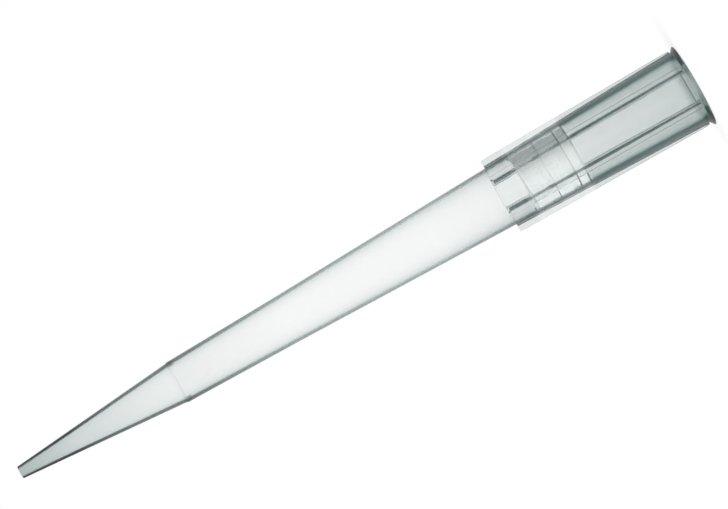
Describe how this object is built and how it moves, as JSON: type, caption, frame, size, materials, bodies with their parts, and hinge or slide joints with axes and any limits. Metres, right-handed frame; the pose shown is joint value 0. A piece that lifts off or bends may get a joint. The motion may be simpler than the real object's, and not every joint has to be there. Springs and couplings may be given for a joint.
{
  "type": "pipette tip",
  "caption": "Clear conical pipette tip with a flanged mouth, a ribbed collar, a white filter plug and a narrow outlet.",
  "frame": {"origin": "centre of the mouth face, on the axis; the tip stands on its mouth", "axes": "+Z along the axis from the mouth to the outlet; +X through the middle of one collar rib"},
  "size_m": [0.009, 0.009, 0.078],
  "materials": {
    "clear_polypropylene": "clear moulded polypropylene with a faint grey-green cast, smooth, slightly hazy round the collar",
    "porous_polyethylene": "white sintered polyethylene, matt and finely granular"
  },
  "bodies": {
    "root": {"tip_body": "clear_polypropylene", "filter_plug": "porous_polyethylene"}
  },
  "joints": []
}
